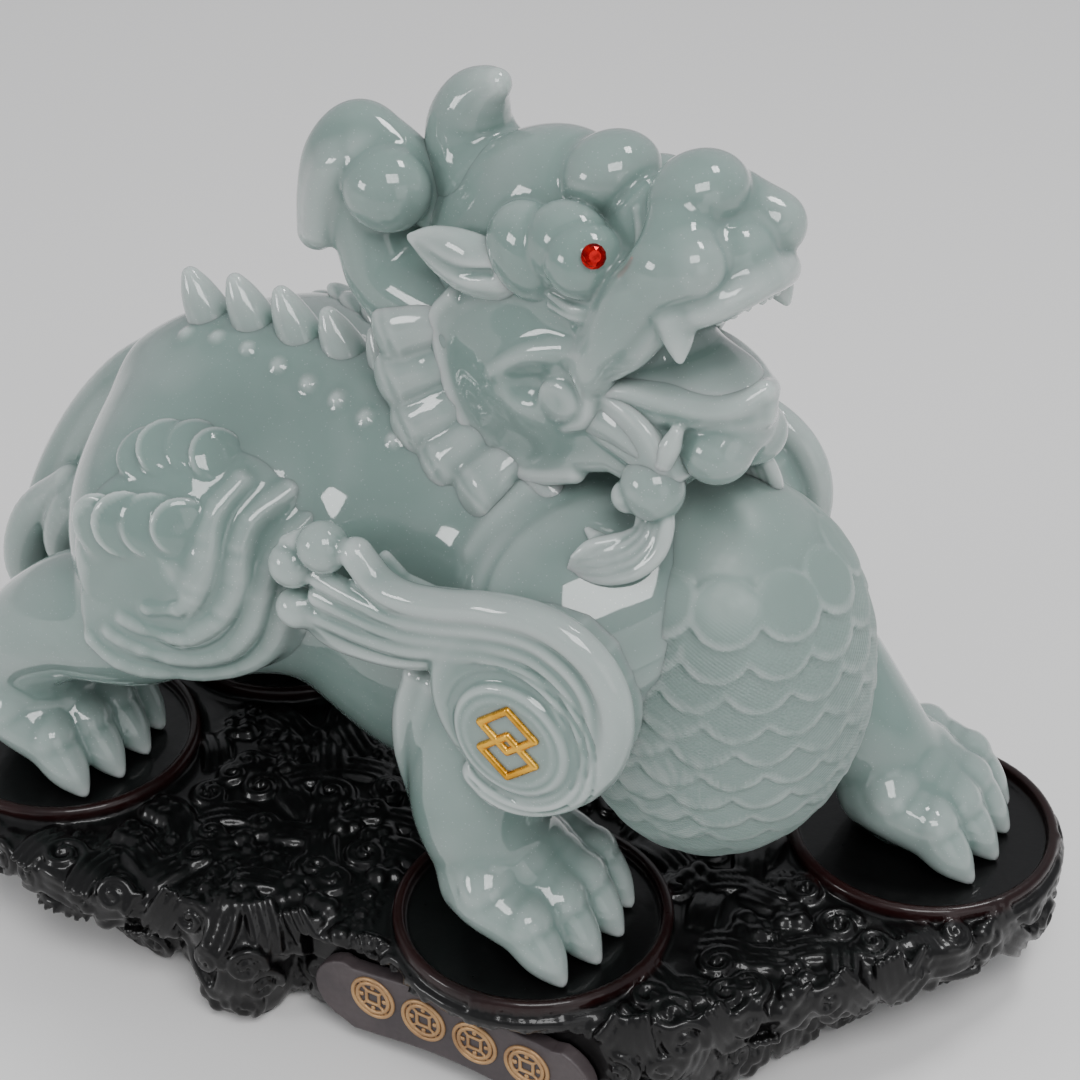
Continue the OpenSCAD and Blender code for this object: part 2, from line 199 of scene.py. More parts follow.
class Clay:
    """A lump of clay: signed distance on a grid, in mm, negative inside. reach is how far from a shape
    its distance is kept, which must be at least the widest fillet that follows."""

    def __init__(self, low, high, step, reach=6.0):
        self.step = step * FINE
        self.low = np.asarray(low, np.float64)
        self.reach = reach
        count = np.ceil((np.asarray(high) - self.low) / self.step).astype(int) + 1
        self.field = np.full(count, FAR, np.float32)

    @property
    def high(self):
        return self.low + self.step * (np.array(self.field.shape) - 1)

    def window(self, low, high):
        """Slices of the grid, and its coordinates there, for a box."""
        first = np.maximum(np.floor((low - self.low) / self.step).astype(int), 0)
        last = np.minimum(np.ceil((high - self.low) / self.step).astype(int) + 1, self.field.shape)
        last = np.maximum(last, first)
        part = tuple(slice(a, b) for a, b in zip(first, last))
        axes = [(self.low[i] + self.step * np.arange(first[i], last[i])).astype(np.float32) for i in range(3)]
        return part, (axes[0][:, None, None], axes[1][None, :, None], axes[2][None, None, :])

    def merged(self, shapes, margin):
        """The hard union of shapes over their box, and that box's slices."""
        shapes = shapes if isinstance(shapes, list) else [shapes]
        low = np.min([s[0] for s in shapes], axis=0) - margin
        high = np.max([s[1] for s in shapes], axis=0) + margin
        part, _ = self.window(low, high)
        one = Clay.__new__(Clay)
        one.step, one.low = self.step, self.low + self.step * np.array([s.start for s in part])
        one.field = np.full([max(s.stop - s.start, 0) for s in part], FAR, np.float32)
        for lo, hi, distance in shapes:
            sub, where = one.window(lo - margin, hi + margin)
            if one.field[sub].size:
                one.field[sub] = np.minimum(one.field[sub], distance(*where))
        return part, one.field

    def add(self, shapes, soft=0.0):
        """Presses shapes on. soft is the width of the fillet."""
        part, new = self.merged(shapes, max(self.reach, soft))
        old = self.field[part]
        out = np.minimum(old, new)
        if soft:
            out -= np.maximum(soft - np.abs(old - new), 0) ** 2 / (4 * soft)
        self.field[part] = out
        return self

    def cut(self, shapes, soft=0.0):
        """Carves shapes out. soft is the rounding of the rim."""
        part, new = self.merged(shapes, max(self.reach, soft, 8))
        old, new = self.field[part], -new
        out = np.maximum(old, new)
        if soft:
            out += np.maximum(soft - np.abs(old - new), 0) ** 2 / (4 * soft)
        self.field[part] = out
        return self

    def smooth(self, times=1):
        """Softens what is finer than the grid, and the seams between the segments of tubes."""
        for _ in range(times):
            for axis in range(3):
                f = np.moveaxis(self.field, axis, 0)
                f[1:-1] = (f[:-2] + 2 * f[1:-1] + f[2:]) / 4
        return self

    def above(self, z):
        """Cuts everything below height z away."""
        self.field = np.maximum(self.field, z - self.window(self.low, self.high)[1][2])
        return self

    def sample(self, points):
        """The field at points, between grid nodes."""
        q = (np.asarray(points) - self.low) / self.step
        q = np.clip(q, 0, np.array(self.field.shape) - 1.001)
        i = q.astype(int)
        f = q - i
        total = 0
        for corner in np.ndindex(2, 2, 2):
            weight = np.abs(1 - np.array(corner) - f).prod(1)
            total = total + weight * self.field[tuple((i + corner).T)]
        return total

    def gradient(self, points, h):
        return np.column_stack([self.sample(points + h * e) - self.sample(points - h * e) for e in np.eye(3)])

    def skin(self, name, material, body=FIGURE, place=None, flip=False, tint=None):
        """The mesh of the clay's surface, riding on body and standing for the CAD node name. place moves it
        from its own frame, and flip mirrors it in y first. tint(points) is a paint mask."""
        self.field[[0, -1]] = FAR
        self.field[:, [0, -1]] = FAR
        self.field[:, :, [0, -1]] = FAR
        grid = openvdb.FloatGrid(FAR)
        grid.copyFromArray(self.field)
        points, triangles, quads = grid.convertToPolygons(isovalue=0.0, adaptivity=0.0)
        p = points.astype(np.float64) * self.step + self.low
        normal = self.gradient(p, self.step)
        normal /= np.maximum(np.linalg.norm(normal, axis=1), 1e-6)[:, None]
        # thick and hollow are masks for painted light: jade is painted paler, as a glow, where thick is low,
        # and darker, as shade, where hollow is high
        thick = np.clip(-self.sample(p - 7 * normal) / 7, 0, 1)
        around = sum(self.sample(p + s * 1.5 * e) for e in np.eye(3) for s in (-1, 1))
        hollow = np.clip(0.5 - around / 3, 0, 1)
        paint = {"thick": thick, "hollow": hollow}
        if tint is not None:
            paint["tint"] = tint(p)
        if flip:
            p[:, 1] *= -1
            normal[:, 1] *= -1
            quads, triangles = quads[:, ::-1], triangles[:, ::-1]
        if place is not None:
            m = np.array(place)
            p = p @ m[:3, :3].T + m[:3, 3]
            normal = normal @ m[:3, :3].T
        mesh = bpy.data.meshes.new(name)
        count = len(quads) + len(triangles)
        mesh.vertices.add(len(p))
        mesh.vertices.foreach_set("co", (p * MM).astype(np.float32).ravel())
        loops = np.concatenate([quads.ravel(), triangles.ravel()]).astype(np.int32)
        sizes = np.concatenate([np.full(len(quads), 4), np.full(len(triangles), 3)])
        mesh.loops.add(len(loops))
        mesh.loops.foreach_set("vertex_index", loops)
        mesh.polygons.add(count)
        mesh.polygons.foreach_set("loop_start", np.concatenate([[0], np.cumsum(sizes)[:-1]]).astype(np.int32))
        mesh.update(calc_edges=True)
        mesh.validate()
        for key, values in paint.items():
            mesh.attributes.new(key, "FLOAT", "POINT").data.foreach_set("value", values.astype(np.float32))
        mesh.normals_split_custom_set_from_vertices(normal.astype(np.float32))
        add_piece(name, mesh, material, body)


def first_hit(clays, start, direction, reach=90):
    """The first point from start along direction that is inside one of the clays, with the outward normal."""
    d = unit(direction)
    best = None
    for c in clays:
        line = np.asarray(start) + np.arange(0, reach, 0.4)[:, None] * d
        inside = (c.sample(line) < 0) & (line > c.low).all(1) & (line < c.high).all(1)
        if inside.any():
            at = int(np.argmax(inside))
            if best is None or at < best[0]:
                best = (at, line[at], c)
    if best is None:
        return None
    _, point, c = best
    return point, unit(c.gradient(point[None], 1.5)[0])


def laid(clays, path, direction, lift=0.0, start=70.0):
    """Path points (x, y, z, radius) moved along direction on to the clays' surface, lifted by lift radii."""
    out = []
    for x, y, z, r in path:
        hit = first_hit(clays, vec(x, y, z) - start * unit(direction), direction)
        if hit:
            out.append((*(hit[0] + hit[1] * r * lift), r))
    return out


def add_piece(name, mesh, material, body):
    piece = bpy.data.objects.new(name + "_skin", mesh)
    bpy.context.scene.collection.objects.link(piece)
    mesh.materials.append(material)
    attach(piece, body)
    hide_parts(name)


# -------- materials

def new_material(name, **values):
    """A node material, its tree and its shader. values are what the shader has the same all over."""
    m = bpy.data.materials.new(name)
    m.use_nodes = True
    tree = m.node_tree
    tree.nodes.clear()
    out = tree.nodes.new("ShaderNodeOutputMaterial")
    shader = tree.nodes.new("ShaderNodeBsdfPrincipled")
    tree.links.new(shader.outputs[0], out.inputs[0])
    for key, value in values.items():
        shader.inputs[key.replace("_", " ")].default_value = value
    return m, tree, shader


def node(tree, kind, links=(), **values):
    """A node with its settings or input values, and links as (input name, output socket)."""
    n = tree.nodes.new("ShaderNode" + kind)
    for key, value in values.items():
        if hasattr(n, key):
            setattr(n, key, value)
        else:
            n.inputs[key.replace("_", " ")].default_value = value
    for key, socket in links:
        tree.links.new(socket, n.inputs[key])
    return n


def maths(tree, operation, *terms):
    """The result of an operation on terms, each a socket or a number."""
    n = node(tree, "Math", operation=operation)
    for i, term in enumerate(terms):
        if isinstance(term, float):
            n.inputs[i].default_value = term
        else:
            tree.links.new(term, n.inputs[i])
    return n.outputs[0]


def mapped(tree, value, start, end):
    """value, moved from the range start to the range end."""
    limits = dict(From_Min=start[0], From_Max=start[1], To_Min=end[0], To_Max=end[1])
    return node(tree, "MapRange", [("Value", value)], **limits).outputs[0]


def noise(tree, place, scale, detail, roughness=0.5, distortion=0.0):
    values = dict(Scale=scale, Detail=detail, Roughness=roughness, Distortion=distortion)
    return node(tree, "TexNoise", [("Vector", place)], **values).outputs["Fac"]


def cells(tree, place, scale):
    """Distance from the nearest of many scattered points."""
    return node(tree, "TexVoronoi", [("Vector", place)], Scale=scale).outputs["Distance"]


def painted(tree, name):
    """A mask that the mesh carries."""
    return node(tree, "Attribute", attribute_name=name).outputs["Fac"]


def bump(tree, height, strength, distance, *under):
    """The normal raised by height, over the normal under, if any."""
    links = [("Height", height)] + [("Normal", normal) for normal in under]
    return node(tree, "Bump", links, Strength=strength, Distance=distance).outputs[0]


def ramp(tree, socket, stops):
    n = tree.nodes.new("ShaderNodeValToRGB")
    tree.links.new(socket, n.inputs[0])
    for e, (at, colour) in zip(n.color_ramp.elements, stops):
        e.position = at
        e.color = (*colour, 1)
    return n.outputs["Color"]


def finish(tree, shader, colour, roughness, normal):
    for key, socket in (("Base Color", colour), ("Roughness", roughness), ("Normal", normal)):
        tree.links.new(socket, shader.inputs[key])


def stipple(tree, place, cloud, under):
    """Rows of fine dots round the chest, patchy, and faded out towards its top. Sizes are in metres."""
    chest_x, dots_per_radian, dots_per_metre, top, faded = 0.040, 250.0, 7400.0, 0.112, 0.125
    at = node(tree, "SeparateXYZ", [("Vector", place)]).outputs
    turn = maths(tree, "ARCTAN2", at["Y"], maths(tree, "ADD", at["X"], -chest_x))
    around = maths(tree, "SINE", maths(tree, "MULTIPLY", turn, dots_per_radian))
    upward = maths(tree, "SINE", maths(tree, "MULTIPLY", at["Z"], dots_per_metre))
    strength = maths(tree, "MULTIPLY", mapped(tree, at["Z"], (faded, top), (0.0, 1.0)), cloud)
    links = [("Height", maths(tree, "MULTIPLY", around, upward)), ("Normal", under), ("Strength", strength)]
    return node(tree, "Bump", links, Distance=0.00016).outputs[0]


def jade(name, thin, deep, rough, specular, coat, dotted=False):
    """Resin jade: cloudy, with fine motes inside. Its colour carries painted light: paler, a painted glow,
    where the resin is thin or raised, and greener and darker, painted shade, where it is deep and in hollows.
    """
    m, tree, shader = new_material(
        name, Subsurface_Weight=0.7, Subsurface_Scale=0.0045, Subsurface_Radius=(1.0, 1.25, 1.1), IOR=1.52,
        Specular_IOR_Level=specular, Coat_Weight=coat, Coat_Roughness=0.035,
    )
    place = node(tree, "TexCoord").outputs["Object"]
    cloud = noise(tree, place, 30.0, 2.5, distortion=0.3)
    # depth is cloud tone plus painted light: it is low, a painted glow, where the resin is thin, and high,
    # painted shade, in hollows
    depth = maths(tree, "MULTIPLY_ADD", painted(tree, "thick"), cloud, painted(tree, "hollow"))
    mote = ramp(tree, cells(tree, place, 900.0), [(0.06, (0.5, 0.5, 0.5)), (0.16, (0, 0, 0))])
    # from the pale painted glow at thin resin to the dark painted shade in hollows and deep resin
    colour = ramp(tree, maths(tree, "SUBTRACT", depth, mote), [(0.10, thin), (1.0, deep)])
    wear = noise(tree, place, 260.0, 3.0, 0.6)
    ripple = bump(tree, noise(tree, place, 110.0, 1.0), 0.05, 0.0006)
    pinhole = ramp(tree, cells(tree, place, 520.0), [(0.02, (0, 0, 0)), (0.10, (1, 1, 1))])
    normal = bump(tree, pinhole, 0.25, 0.00012, ripple)
    if dotted:
        normal = stipple(tree, place, cloud, normal)
    finish(tree, shader, colour, mapped(tree, wear, (0.3, 0.7), rough), normal)
    return m


def lacquer():
    """Gloss black lacquer. The worn lips of the dishes show dark mahogany under it."""
    gloss = dict(Coat_Weight=0.3, Coat_Roughness=0.06, Specular_IOR_Level=0.2)
    m, tree, shader = new_material("black_lacquer", **gloss)
    place = node(tree, "TexCoord").outputs["Object"]
    worn = maths(tree, "MULTIPLY", painted(tree, "tint"), noise(tree, place, 46.0, 5.0, 0.65))
    colour = ramp(tree, worn, [(0.05, (0.0022, 0.0020, 0.0022)), (0.62, (0.013, 0.0025, 0.0025))])
    grain = noise(tree, place, 420.0, 4.0, 0.65)
    rough = mapped(tree, grain, (0.0, 1.0), (0.18, 0.50))
    finish(tree, shader, colour, rough, bump(tree, grain, 0.25, 0.0003))
    return m


def grained(name, dark, light, rough, grain, bumps, height=0.0001, broad=0.12, **values):
    """A finish with fine grain. Its colour varies over broader patches, and its roughness over rough."""
    m, tree, shader = new_material(name, **values)
    place = node(tree, "TexCoord").outputs["Object"]
    fine = noise(tree, place, grain, 4.0, 0.6)
    colour = ramp(tree, noise(tree, place, grain * broad, 3.0), [(0.35, dark), (0.65, light)])
    finish(tree, shader, colour, mapped(tree, fine, (0.3, 0.7), rough), bump(tree, fine, bumps, height))
    return m


# In each jade, the first colour is a painted glow on thin resin, and the second is painted shade in hollows
# and deep resin
JADE = jade("jade_resin", (0.39, 0.43, 0.42), (0.165, 0.235, 0.215), (0.03, 0.09), specular=0.12, coat=1.0)
FROSTED = jade("frosted_jade_resin", (0.38, 0.42, 0.41), (0.20, 0.265, 0.245), (0.32, 0.46), specular=0.35,
               coat=0.0, dotted=True)
LACQUER = lacquer()
GOLD = grained("gold_print", (0.58, 0.27, 0.02), (0.86, 0.47, 0.06), (0.18, 0.36), 700.0, 0.2, Metallic=1.0)
GOLD_PRINT = grained("gold_print", (0.34, 0.20, 0.10), (0.50, 0.31, 0.15), (0.40, 0.55), 900.0, 0.4,
                     Metallic=0.7)
PLAQUE = grained("plaque_brown", (0.035, 0.027, 0.030), (0.055, 0.043, 0.045), (0.42, 0.58), 700.0, 0.3)
FELT = grained("felt", (0.012, 0.012, 0.013), (0.03, 0.03, 0.032), (0.9, 1.0), 1500.0, 1.0, 0.0004)
CRYSTAL = grained("red_crystal", (0.16, 0.0, 0.001), (0.62, 0.004, 0.004), (0.05, 0.12), 1500.0, 0.02,
                  broad=0.3, Metallic=0.75, Specular_IOR_Level=0.35)


# -------- body

SOLE_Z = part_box("leg_front_right")[0].z / MM
UP, DOWN, INWARD = vec(0, 0, 1), vec(0, 0, -1), vec(0, 1, 0)  # inward is from the right flank
RIGHT_SIDE = np.column_stack([vec(1, 0, 0), vec(0, 0, 1), vec(0, -1, 0)])  # flat shapes that face -Y


def torso():
    c = Clay((-106, -50, 44), (76, 50, 188), 0.9, reach=18)
    c.add(blob((-58, 0, 98), (36, 34, 42)))
    c.add(blob((-20, 0, 102), (34, 29, 36)), 16)
    c.add(blob((-4, -1, 92), (40, 31, 47)), 14)
    c.add(blob((26, 0, 98), (36, 30, 42)), 14)
    ridge = [(-76, 0, 122, 9), (-60, 0, 132, 9), (-40, 0, 135, 9), (-20, 0, 132, 9.5), (-6, 0, 126, 9)]
    c.add(tube(ridge), 8)
    c.add(tube([(13, 0, 108, 23), (18, 0, 126, 16), (20, 0, 143, 11), (22, 0, 160, 8)]), 12)
    c.add(blob((46, -1, 113), (27, 27, 25)), 10)
    for side in (-1, 1):
        c.add(blob((37, side * 21, 102), (24, 25, 25)), 12)
        c.add(blob((-53, side * 23, 101), (30, 29.5, 33)), 12)
        c.add(blob((47.6, side * 27.5, 121), (4.6, 19, 15), axes_from((0.40, side * 0.59, 0.70))), 14)
        fold = [(26, side * 18, 120, 1.6), (22.5, side * 23, 120, 1.8), (18.5, side * 28.5, 120, 1.0)]
        c.add(tube(laid([c], fold, DOWN, -0.4), 8), 3)
    c.reach = 4
    for side in (-1, 1):
        beads = [(x, side * (7.5 + 9 * ((x + 66) / 60) ** 2), 130, 1.8) for x in np.arange(-66, -2, 8.4)]
        for x, y, z, r in laid([c], beads, DOWN, 0.2):
            c.add(blob((x, y, z), r), 0.8)
    return c.smooth(2)


def chest():
    c = Clay((22, -42, 44), (104, 42, 150), 0.6)
    centre, radii = vec(60.5, -1, 95), vec(33, 31, 44.5)
    c.add(blob(centre, radii))
    c.add(blob((44, 0, 104), (20, 27, 36)), 6)
    rows, pitch, size = 12, 6.2, 7.6
    for row in range(rows):
        z = 124 - row * pitch
        s = (z - centre[2]) / radii[2]
        ring = sqrt(max(1 - s * s, 0.02))
        count = max(int(round(2 * pi * radii[1] * ring / (size * 1.6))), 5)
        for i in range(count):
            turn = 2 * pi * (i + 0.5 * (row % 2)) / count
            if cos(turn) < -0.35:
                continue
            out = vec(cos(turn) * ring, sin(turn) * ring, s)
            normal = unit(out / radii)
            up = unit(UP - normal * normal[2])
            at = centre + out * radii + normal * 0.1
            c.add(blob(at, (1.2, size, size), axes_from(unit(normal + 0.15 * up), up)), 0.6)
    return c


def paw(c, at, heading):
    """Pad and four knuckled toes that run out into pointed claws."""
    a = radians(heading)
    f, s = vec(cos(a), sin(a), 0), vec(-sin(a), cos(a), 0)

    def p(forward, side, up, *more):
        return (*(at + f * forward + s * side + UP * up), *more)

    c.add(blob(p(-4, 0, 10), (11.5, 13, 11), np.column_stack([f, s, UP])), 8)
    c.add(blob(p(2, 0, 7), (10, 14, 7), np.column_stack([f, s, UP])), 6)
    toes = []
    for side, ahead in ((-14, -2.5), (-4.8, 0.5), (4.6, 0.5), (13.4, -2)):
        toes += tube([p(-9, side * 0.8, 13, 6), p(-1 + ahead, side, 13.6, 6.4), p(8 + ahead, side, 10.4, 6.1),
                      p(13.6 + ahead, side * 1.03 - 0.7, 6, 5.0), p(18 + ahead, side * 1.05 - 1.4, 2.2, 2.2),
                      p(19.8 + ahead, side * 1.06 - 1.8, 0.8, 0.7)], 5)
        toes += [blob(p(-1 + ahead, side, 15.8), 6.1), blob(p(9 + ahead, side, 11.4), 6)]
    c.add(toes, 4.5)


def leg(bones, at, heading=0):
    """A leg through its bones (x, y, z, radius), on a paw at (x, y) that points heading degrees left."""
    low = np.min([np.array(b[:3]) - b[3] for b in bones], axis=0) - 6
    high = np.max([np.array(b[:3]) + b[3] for b in bones], axis=0) + 6
    centre = vec(*at, SOLE_Z)
    low = np.minimum(low, centre - 30)
    high = np.maximum(high, centre + 30)
    low[2] = SOLE_Z - 3
    c = Clay(low, high, 0.7)
    c.add(tube(bones, 14))
    c.smooth(4)
    paw(c, centre, heading)
    return c.smooth(1).above(SOLE_Z)


def front_leg_fin(c):
    """Ribbed strip down the back edge of the right front leg."""
    for k in (0, 1):
        x = 5 * k
        c.add(tube([(11 + x, -38 - k, 96, 3.2), (8.5 + x, -38 - k, 84, 3.6), (8.5 + x, -37 - k, 72, 3.6),
                    (12 + x, -36 - k, 60, 3.2), (17 + 4 * k, -36, 50, 2)], 10), 2.2)


def tail():
    c = Clay((-132, -26, 40), (-60, 24, 142), 0.7, reach=8)
    spine = [(-74, 2, 126, 8.5), (-90, 3, 112, 9.5), (-103, 2, 94, 10), (-112, 0, 74, 10),
             (-112, -4, 57, 8.5), (-104, -8, 49, 6.5), (-96, -9, 53, 5), (-95, -8, 60, 4)]
    c.add(tube(spine))
    strands = 6
    for k in range(strands):
        lock = []
        for i, (x, y, z, r) in enumerate(spine[:7]):
            turn = 2 * pi * k / strands + 0.35 * i
            a, b = r * cos(turn), r * sin(turn)
            lock.append((x + 0.62 * a, y + 0.62 * b, z + 0.2 * a, 0.5 * r))
        c.add(tube(lock, 8), 0.9)
    c.add(tube([(-100, -12, 92, 4), (-112, -12, 78, 5.5), (-116, -13, 64, 5), (-110, -14, 55, 3.2)]), 1.5)
    c.add(tube([(-84, -8, 100, 5), (-96, -14, 88, 6), (-101, -15, 76, 5), (-95, -15, 68, 3.4)]), 1.5)
    return c


def haunch(clays, side):
    """Cloud curls and long S-shaped ribs, on a skin laid over a thigh. side is 1 for the right one. The left
    one, -1, is made as a right one too, and its skin is mirrored."""
    c = Clay((-84, -62, 62), (-6, -14, 144), 0.55, reach=4)
    grid = np.stack(np.broadcast_arrays(*c.window(c.low, c.high)[1]), -1).reshape(-1, 3) * (1, side, 1)
    under = np.full(len(grid), FAR)
    for other in clays:
        here = ((grid > other.low) & (grid < other.high)).all(1)
        under[here] = np.minimum(under[here], other.sample(grid[here]))
    away = np.sqrt(((grid[:, 0] + 44) / 34) ** 2 + ((grid[:, 2] - 103) / 36) ** 2)
    sink = np.clip((away - 0.70) / 0.22, 0, 1)  # from 1 outside an oval, where the skin is under the thigh's
    c.field = (under - 0.5 + 2.2 * sink * sink * (3 - 2 * sink)).reshape(c.field.shape).astype(np.float32)
    ribs = [
        [(-34.8, 126), (-36.8, 121), (-36.2, 113.8), (-37.4, 106.1), (-41, 101.5), (-48, 99.5)],
        [(-26.2, 123.6), (-30.4, 119), (-30.8, 113), (-30.6, 106.8), (-33, 99.4), (-39, 94), (-47, 93.4),
         (-54, 95)],
        [(-20, 120), (-25, 111), (-26.8, 103), (-29, 94.9), (-34, 88), (-41.9, 86), (-49, 87), (-58, 90)],
        [(-20, 108), (-23, 98), (-27, 88), (-34, 81), (-44, 79), (-55, 81), (-64, 86)],
    ]
    for path in ribs:
        part = pi / (len(path) + 0.2)
        shaped = [(x, 0, z, 1.2 + 1.6 * sin(part * (i + 0.6))) for i, (x, z) in enumerate(path)]
        c.add(tube(laid([c], curve(shaped, 4), INWARD, -0.35), 1), 2.4)
    for x, z, r in ((-56, 129, 7), (-51.2, 130.6, 7), (-46, 131, 6.8), (-41, 130, 6.4),
                    (-60, 115, 8), (-54, 117.6, 7.6), (-48, 118.8, 7.2), (-42, 119.4, 6.4)):
        hit = first_hit([c], (x, -80, z), INWARD)
        if hit:
            edge = axes_from(unit(hit[1] + vec(0.2, 0, -0.12)))
            c.add(blob(hit[0] - hit[1] * 0.5, (1.7, r, r), edge), 0.5)
    return c


def crest():
    c = Clay((-80, -12, 120), (8, 12, 156), 0.5, reach=4)
    for i in range(6):
        x, z = -66.5 + 12 * i, (0, 1.8, 2.1, 0.4, -0.8, -3)[i]
        c.add(tube([(x + 4, 0, 132 + z, 5.6), (x + 2, 0, 139 + z, 5.4), (x - 1, 0, 145 + z, 4.0),
                    (x - 3, 0, 149.2 + z, 2.1)], 8), 0.8)
    return c.smooth(1)


WING_DISC = (39.6, 97.4)  # x and z of its middle


def upright_ring(x, y, z, radius, thick, angles):
    """Points of a ring that faces sideways, each with the radius thick."""
    return [(x + radius * cos(a), y, z + radius * sin(a), thick) for a in angles]


def square_frame(corners, x, y, z, thick):
    """Straight bars from corner to corner, in the plane that faces sideways."""
    at = [(x + a, y, z + b) for a, b in corners]
    return [segment(p, thick, q, thick) for p, q in zip(at, at[1:] + at[:1])]


def wing():
    """Ribbed ribbon that flies back from the shoulder to three knobs, and curls round a raised disc."""
    c = Clay((-24, -60, 70), (70, -26, 136), 0.5, reach=4)
    rim = [(-0.7, 124.5), (5, 119.8), (12, 119), (22, 121.5), (33, 125.6), (43, 127.2), (51, 125.6),
           (57.5, 121), (61.3, 114), (61.8, 105), (58.8, 95.5), (52, 87), (43.5, 81.4), (35.5, 80.2), (30, 83)]
    low = [(-14, 103), (-8, 100.4), (1.3, 101.2), (10.9, 103.6), (20.4, 108), (27, 112.4), (29.5, 116)]

    def deep(x):
        """How far out the ribbon stands: it leaves the flank at the knobs."""
        return -40.5 - 6.0 * min(max((x + 16) / 50, 0), 1)

    inner = [(x + 0.07 * (40 - x), z + 0.07 * (104 - z)) for x, z in rim]
    outline = inner + [(26, 90), (25.4, 97), (26.5, 106)] + low[::-1]
    c.add(prism([(x - 20, z - 104) for x, z in outline], (20, -38.5, 104), RIGHT_SIDE, 5, 2))
    c.add(disc((40.5, -40, 103.2), RIGHT_SIDE, 21.5, 7.7, 2.8), 2.5)
    c.add(tube([(x, deep(x) + 1.0, z, 3.6) for x, z in rim], 8), 1.5)
    c.add(tube([(x, deep(x) + 1.0, z, 2.6) for x, z in low], 8), 1.2)
    bands = [
        [(-9.6, 115.4), (1.9, 114.4), (11.3, 114.6), (22, 117.4), (33.6, 121.6), (43.1, 122.6), (50.4, 119.8),
         (55.6, 114.6), (57.7, 107), (56.6, 99), (52.4, 91.6), (46, 86.6), (39, 84.6)],
        [(-10.2, 110.6), (1.7, 110.2), (12.5, 111.2), (24.3, 114.9), (35.4, 118.6), (43.2, 118.9),
         (49, 116.2), (53, 111.4), (54.4, 105), (53.6, 98), (49.8, 91.4), (44, 87.4)],
        [(-11, 105.8), (1.5, 106), (12.8, 107.8), (24.5, 112.3), (33.6, 115.4), (41, 115.4), (46.4, 112.8),
         (50, 108.6), (51.2, 103), (50.4, 97), (47, 91.6)],
    ]
    for path in bands:
        band = [(x, deep(x) - 0.1 - 0.02 * i, z, max(2.7 - 0.13 * i, 1.6)) for i, (x, z) in enumerate(path)]
        c.add(tube(band, 8), 0.7)
    x0, z0 = WING_DISC
    c.add(disc((x0, -45, z0), RIGHT_SIDE, 13.4, 4.6, 1.6), 0.9)
    c.smooth(1)
    for r, first, last in ((15.4, -2.6, 3.0), (17.5, -2.2, 1.9), (19.6, -1.9, 1.4)):
        groove = upright_ring(x0, 20, z0, r, 0.35, np.linspace(first, last, 60))
        c.cut(tube(laid([c], groove, INWARD, 0.4, 100), 1), 0.35)
    c.cut(tube(upright_ring(x0, -49.9, z0, 11.4, 0.5, np.linspace(0, 2 * pi, 65)), 1), 0.3)
    for x, y, z, r in upright_ring(x0, -49.5, z0, 10, 0.42, np.arange(0, 2 * pi, 2 * pi / 64)):
        c.add(blob((x, y, z), r), 0.2)
    for x, z, r in ((-8.5, 123.6, 5.6), (-16.5, 116.6, 5.2), (-16, 105.6, 4.6)):
        c.add(blob((x, -41.6, z), (r, r * 0.95, r)), 1.6)
    c.add(tube([(-13, -41, 124, 2.4), (-17.5, -41, 121, 2.2)]), 0.8)
    return c


def emblem():
    """Gold ornament: two open lozenges, interlocked one over the other."""
    x0, z0 = WING_DISC
    c = Clay((x0 - 9, -52, z0 - 12), (x0 + 9, -47, z0 + 12), 0.22, reach=1.2)
    for middle in (3.2, -3.2):
        for bar in square_frame([(-6.3, 0), (0, 5.2), (6.3, 0), (0, -5.2)], x0, -49.7, z0 + middle, 0.9):
            c.add(bar)
    return c


def mane_curl():
    """Large curl that rises behind the horn, with a round bulb in its crook."""
    c = Clay((-48, -20, 146), (30, 20, 210), 0.55, reach=7)
    c.add(tube([(8, 0, 160, 14), (-6, 0, 162, 12), (-16, 0, 166, 10.4), (-20.5, 0, 176, 9),
                (-21, 0, 184, 8.5)]), 3)
    top = [(-8, 3, 183, 6.5), (-13, 1, 189, 7), (-19, 0, 193.4, 7), (-24, 0, 194.4, 7.4), (-29, -1, 189, 6.8),
           (-32, -2, 180.5, 5.4), (-33, -3, 172, 4.4)]
    c.add(tube(top, 8), 1.6)
    c.add(tube([(-20, -5, 193, 5), (-25, -6, 190, 5), (-28.5, -6, 182, 4.4), (-30, -6, 174, 3.6)], 8), 2.5)
    c.add(blob((-13.5, -6, 188), (9.4, 8.5, 9)), 1.0)
    c.smooth(1)
    return c


# -------- head, in its own frame: forward, left, up

HEAD = (
    Matrix.Translation(Vector((30, 0, 178)))
    @ Matrix.Rotation(radians(-15), 4, "Z")
    @ Matrix.Rotation(radians(-27), 4, "Y")
)
CHEEK = [(-28.6, 0.5), (-30.7, -6.1), (-32, -14.4), (-31.4, -23.2), (-26.7, -31.1), (-17.4, -35.6),
         (-6, -36.4), (3, -37), (9, -41), (15, -43.5), (20.5, -40), (21, -34), (18, -27), (13, -21.4),
         (12, -17), (15, -13), (21, -7), (26, -1), (24, 5), (12, 7), (0, 5), (-12, 5), (-22, 4)]
CUSHION = (-10, -14.5, 21, 19, 9.6, 6.0)  # the cheek's bulge: middle, half sizes, height, and depth it is set


def cheek_axes(side):
    """Forward, up and outward for the cheek plate, which narrows a little towards the snout."""
    out = unit((0.09, side, -0.02))
    forward = unit(vec(1, 0, 0) - out * out[0])
    up = unit(UP - out * out[2] - forward * forward[2])
    return np.column_stack([forward, up, out])


